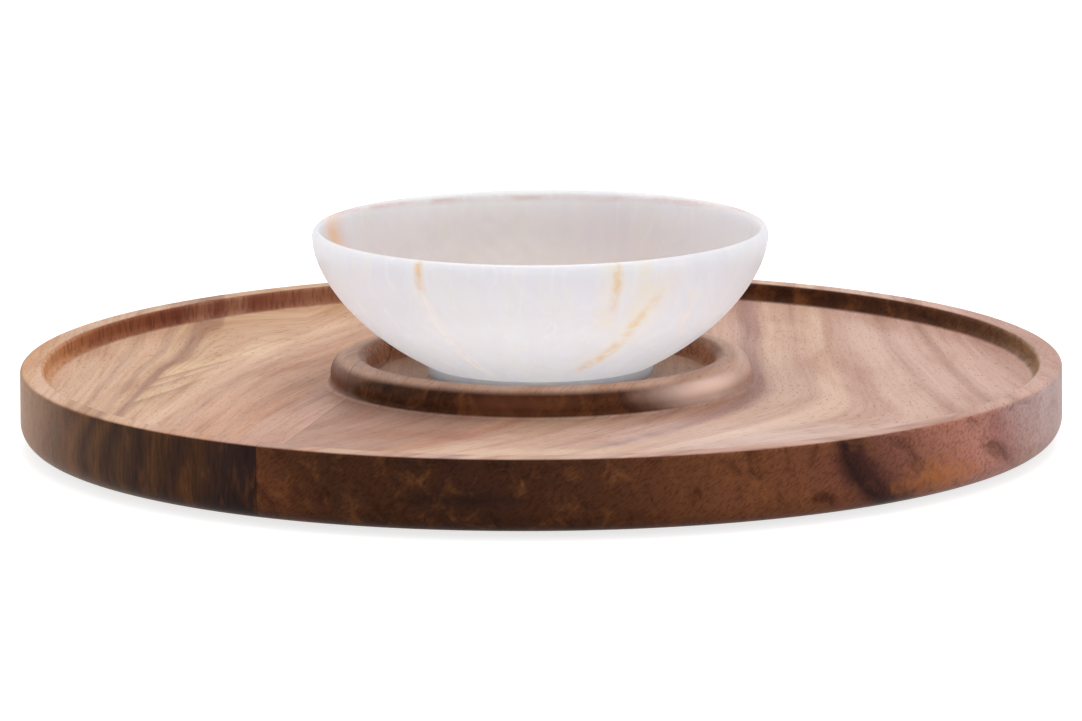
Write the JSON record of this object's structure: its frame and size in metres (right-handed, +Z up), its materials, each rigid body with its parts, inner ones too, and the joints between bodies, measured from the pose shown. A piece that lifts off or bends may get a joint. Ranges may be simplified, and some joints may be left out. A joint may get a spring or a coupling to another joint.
{
  "type": "chip and dip server",
  "caption": "Round wooden serving tray with a chip well, a raised bead round a central recess, and a lift-out stone dip bowl standing in it.",
  "frame": {"origin": "under the tray's centre, on the surface that the four feet stand on", "axes": "+Z up along the turning axis of tray and bowl; +Y to the back, +X to the right; the glue line is left of centre and runs back and to the right"},
  "size_m": [0.457, 0.457, 0.0959],
  "materials": {
    "tray_wood_pale": "oiled satin, the lighter of two glued hardwood boards",
    "tray_wood": "oiled satin hardwood with flowing figure",
    "bowl_stone": "polished white onyx with amber veins",
    "foot_rubber": "matt moulded rubber"
  },
  "bodies": {
    "tray": {"tray_left_board": "tray_wood_pale", "tray_wide_board": "tray_wood", "foot_back_right": "foot_rubber", "foot_back_left": "foot_rubber", "foot_front_left": "foot_rubber", "foot_front_right": "foot_rubber"},
    "bowl": {"dip_bowl": "bowl_stone"}
  },
  "joints": [
    {"name": "bowl_lift", "type": "slide", "parent": "tray", "child": "bowl", "axis": [0, 0, 1], "range_m": [0, 0.12]}
  ]
}
